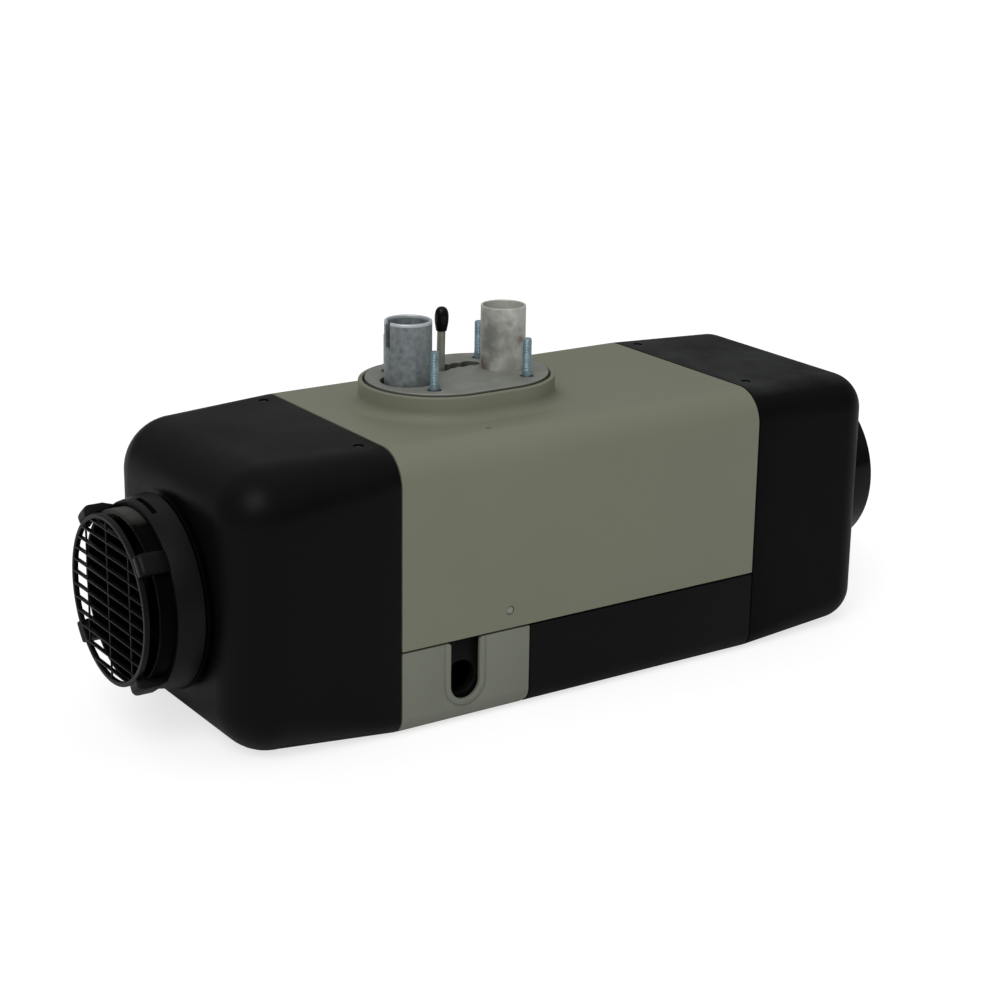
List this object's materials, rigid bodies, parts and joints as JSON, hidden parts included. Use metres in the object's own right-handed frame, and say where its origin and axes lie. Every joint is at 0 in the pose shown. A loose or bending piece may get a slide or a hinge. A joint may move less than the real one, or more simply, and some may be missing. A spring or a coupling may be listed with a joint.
{
  "type": "diesel air heater",
  "caption": "Fuel-fired air heater with a boxy jacket, rounded hoods, a guarded round air intake, a round outlet nozzle and a studded flange with air, exhaust and fuel stubs.",
  "frame": {"origin": "under the middle of the whole heater, on the plane of the jacket's flat underside as it lies in the picture", "axes": "+X runs with the warm air from the intake guard to the outlet nozzle, +Z points out of the mounting flange, -Y is the long side with the cable port"},
  "size_m": [0.459, 0.148, 0.1956],
  "materials": {
    "jacket_grey": "satin grey-green",
    "shell_black": "matte near-black, fine texture",
    "guard_black": "matte black",
    "nozzle_black": "glossy black",
    "plate_grey": "blasted grey",
    "cast_aluminium": "as cast",
    "air_stub_grey": "mottled blue-grey",
    "exhaust_steel": "blasted stainless",
    "zinc_studs": "blue zinc plated",
    "fuel_steel": "dull",
    "steel": "machined",
    "cap_rubber": "smooth black rubber",
    "pad_rubber": "matte",
    "plug_grey": "pale grey",
    "inner_black": "matte",
    "winding_copper": "enamelled copper",
    "burner_steel": "heat-darkened stainless",
    "gasket_grey": "pressed fibre",
    "board_green": "lacquered circuit board",
    "socket_white": "moulded",
    "lead_dark": "insulated wire"
  },
  "bodies": {
    "root": {"intake_hood": "shell_black", "intake_collar": "guard_black", "air_guide": "inner_black", "motor_can": "steel", "motor_stator": "winding_copper", "front_bearing": "steel", "rear_bearing": "steel", "motor_screws": "steel", "blower_housing": "cast_aluminium", "blower_cover": "cast_aluminium", "burner_gasket": "gasket_grey", "burner_head": "cast_aluminium", "burner_tube": "burner_steel", "fuel_evaporator": "burner_steel", "flame_tube": "burner_steel", "glow_plug": "steel", "exchanger_gasket": "gasket_grey", "heat_exchanger": "cast_aluminium", "housing_screws": "steel", "support_pads": "pad_rubber", "overheat_sensor": "socket_white", "sensor_clip": "steel", "flange_gasket": "gasket_grey", "flange_plate": "plate_grey", "flange_studs": "zinc_studs", "air_stub": "air_stub_grey", "exhaust_stub": "exhaust_steel", "fuel_pipe": "fuel_steel", "jacket_upper": "jacket_grey", "jacket_lower": "shell_black", "cable_port_cover": "jacket_grey", "cable_grommet": "pad_rubber", "jacket_plug": "plug_grey", "hood_screws": "steel", "outlet_hood": "shell_black", "outlet_nozzle": "nozzle_black", "control_case": "inner_black", "control_board": "board_green", "control_lid": "inner_black", "control_socket": "inner_black", "motor_lead": "lead_dark", "glow_lead": "lead_dark", "sensor_lead": "lead_dark"},
    "blower_rotor": {"motor_shaft": "steel", "shaft_clips": "steel", "fan_wheel": "inner_black", "motor_rotor": "steel", "combustion_impeller": "inner_black"},
    "intake_guard": {"guard_ring": "guard_black", "guard_grille": "guard_black"},
    "pipe_cap": {"fuel_pipe_cap": "cap_rubber"}
  },
  "joints": [
    {"name": "blower_spin", "type": "hinge", "parent": "root", "child": "blower_rotor", "pos_m": [-0.1, 0, 0.074], "axis": [1, 0, 0], "continuous": true},
    {"name": "guard_twist", "type": "hinge", "parent": "root", "child": "intake_guard", "pos_m": [-0.21, 0, 0.074], "axis": [-1, 0, 0], "range_deg": [0, 18]},
    {"name": "cap_pull", "type": "slide", "parent": "root", "child": "pipe_cap", "axis": [0.0209, 0, 0.9998], "range_m": [0, 0.06]}
  ]
}
